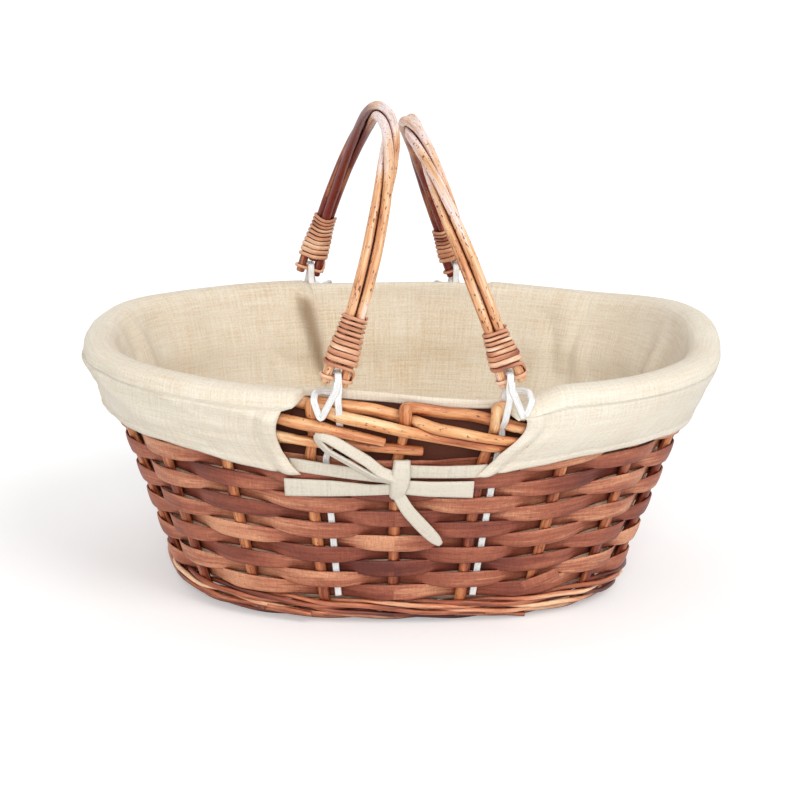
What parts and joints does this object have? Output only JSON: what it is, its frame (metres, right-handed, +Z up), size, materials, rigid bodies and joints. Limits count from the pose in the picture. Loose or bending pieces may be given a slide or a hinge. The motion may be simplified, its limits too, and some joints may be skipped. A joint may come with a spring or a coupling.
{
  "type": "lined oval wicker basket",
  "caption": "Oval basket of wood chips woven on willow stakes, with a rolled stake border, a tied cloth liner and two twisted swinging handles.",
  "frame": {"origin": "on the table, under the middle of the basket", "axes": "+Z up; +X along the basket's long side, to the right as seen from the front; -Y towards the front, the side with the bow in view"},
  "size_m": [0.4014, 0.3098, 0.3],
  "materials": {
    "foot_willow": "stained, satin",
    "stake_willow": "stained, satin",
    "chip_wood": "stained, satin",
    "handle_willow": "varnished",
    "binding_skein": "stained, satin",
    "liner_cloth": "matt, woven",
    "strap_webbing": "matt, woven"
  },
  "bodies": {
    "basket": {"base_weave": "foot_willow", "foot_rod_1": "foot_willow", "foot_rod_2": "foot_willow", "foot_rod_3": "foot_willow", "stake_01": "stake_willow", "stake_02": "stake_willow", "stake_03": "stake_willow", "stake_04": "stake_willow", "stake_05": "stake_willow", "stake_06": "stake_willow", "stake_07": "stake_willow", "stake_08": "stake_willow", "stake_09": "stake_willow", "stake_10": "stake_willow", "stake_11": "stake_willow", "stake_12": "stake_willow", "stake_13": "stake_willow", "stake_14": "stake_willow", "stake_15": "stake_willow", "stake_16": "stake_willow", "stake_17": "stake_willow", "stake_18": "stake_willow", "stake_19": "stake_willow", "stake_20": "stake_willow", "stake_21": "stake_willow", "stake_22": "stake_willow", "wood_chip_01": "chip_wood", "wood_chip_02": "chip_wood", "wood_chip_03": "chip_wood", "wood_chip_04": "chip_wood", "wood_chip_05": "chip_wood", "wood_chip_06": "chip_wood", "wood_chip_07": "chip_wood", "wood_chip_08": "chip_wood", "wood_chip_09": "chip_wood", "wood_chip_10": "chip_wood", "wood_chip_11": "chip_wood", "liner": "liner_cloth", "bow_front": "liner_cloth", "tie_front_left": "liner_cloth", "tie_front_right": "liner_cloth", "bow_back": "liner_cloth", "tie_back_left": "liner_cloth", "tie_back_right": "liner_cloth", "strap_front_left": "strap_webbing", "strap_front_right": "strap_webbing", "strap_back_left": "strap_webbing", "strap_back_right": "strap_webbing"},
    "left_handle": {"left_handle_rod_1": "handle_willow", "left_handle_rod_2": "handle_willow", "left_handle_rod_3": "handle_willow", "left_handle_binding_front": "binding_skein", "left_handle_binding_back": "binding_skein"},
    "right_handle": {"right_handle_rod_1": "handle_willow", "right_handle_rod_2": "handle_willow", "right_handle_rod_3": "handle_willow", "right_handle_binding_front": "binding_skein", "right_handle_binding_back": "binding_skein"}
  },
  "joints": [
    {"name": "left_handle_hinge", "type": "hinge", "parent": "basket", "child": "left_handle", "pos_m": [-0.05, 0, 0.168], "axis": [0, -1, 0], "range_deg": [0, 106]},
    {"name": "right_handle_hinge", "type": "hinge", "parent": "basket", "child": "right_handle", "pos_m": [0.05, 0, 0.168], "axis": [0, 1, 0], "range_deg": [0, 111]}
  ]
}
